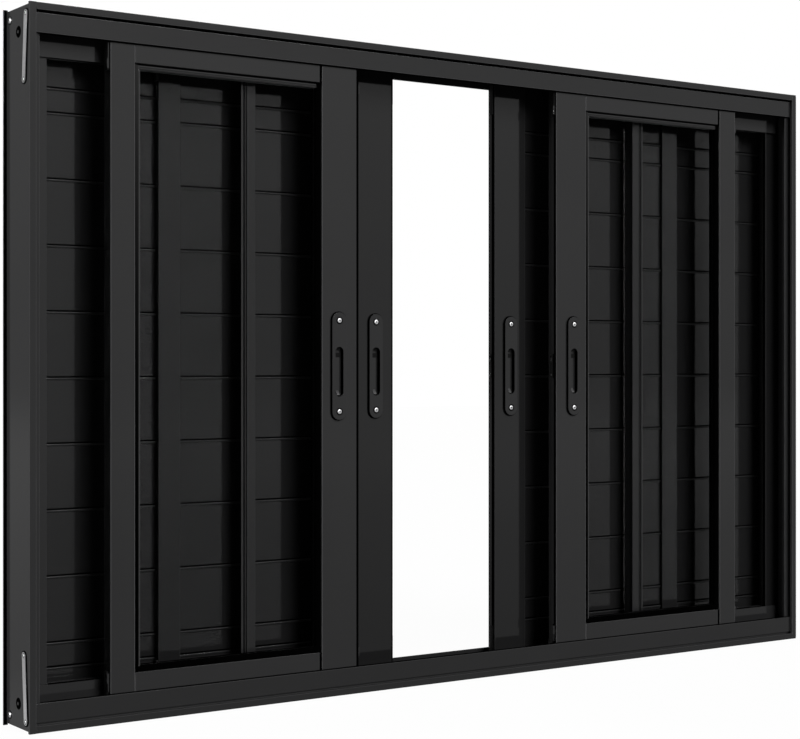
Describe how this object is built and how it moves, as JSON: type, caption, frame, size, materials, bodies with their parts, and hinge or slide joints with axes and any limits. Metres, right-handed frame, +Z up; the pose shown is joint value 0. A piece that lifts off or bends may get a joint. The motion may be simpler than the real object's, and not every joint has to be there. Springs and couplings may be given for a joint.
{
  "type": "aluminium louvred sliding window",
  "caption": "Near-black aluminium window: fixed side lights, sliding glass sashes on the room side and sliding louvred leaves on the weather side, all in one tracked frame.",
  "frame": {"origin": "under the middle of the frame, on the level of the sill's lower face", "axes": "+X along the window, +Y from the room to the weather side, +Z up"},
  "size_m": [1.509, 0.084, 1],
  "materials": {
    "frame_coat": "near-black satin powder coat on aluminium",
    "leaf_coat": "near-black satin powder coat on aluminium",
    "pane": "clear float glass",
    "pull_coat": "black satin coat",
    "zinc_steel": "bright zinc plate",
    "nylon": "black nylon",
    "latch_plastic": "black plastic"
  },
  "bodies": {
    "root": {"head_track": "frame_coat", "sill_track": "frame_coat", "left_jamb": "frame_coat", "left_light_stile": "frame_coat", "left_light_post": "frame_coat", "left_light_bars": "frame_coat", "left_light_glass": "pane", "left_louvre_stiles": "leaf_coat", "left_louvre_rails": "leaf_coat", "left_louvre_slats": "leaf_coat", "left_sash_outer_stile": "leaf_coat", "left_sash_meeting_stile": "leaf_coat", "left_sash_rails": "leaf_coat", "left_sash_glass": "pane", "left_sash_pull": "pull_coat", "left_leaf_outer_stile": "leaf_coat", "left_leaf_meeting_stile": "leaf_coat", "left_leaf_rails": "leaf_coat", "left_leaf_slats": "leaf_coat", "left_leaf_pull": "pull_coat", "left_anchor_straps": "zinc_steel", "right_jamb": "frame_coat", "right_light_stile": "frame_coat", "right_light_post": "frame_coat", "right_light_bars": "frame_coat", "right_light_glass": "pane", "right_louvre_stiles": "leaf_coat", "right_louvre_rails": "leaf_coat", "right_louvre_slats": "leaf_coat", "right_sash_outer_stile": "leaf_coat", "right_sash_meeting_stile": "leaf_coat", "right_sash_rails": "leaf_coat", "right_sash_glass": "pane", "right_sash_pull": "pull_coat", "right_leaf_outer_stile": "leaf_coat", "right_leaf_meeting_stile": "leaf_coat", "right_leaf_rails": "leaf_coat", "right_leaf_slats": "leaf_coat", "right_leaf_pull": "pull_coat", "right_anchor_straps": "zinc_steel", "sash_sliders": "nylon", "leaf_sliders": "nylon", "edge_latches": "latch_plastic", "corner_screws": "zinc_steel"}
  },
  "joints": []
}
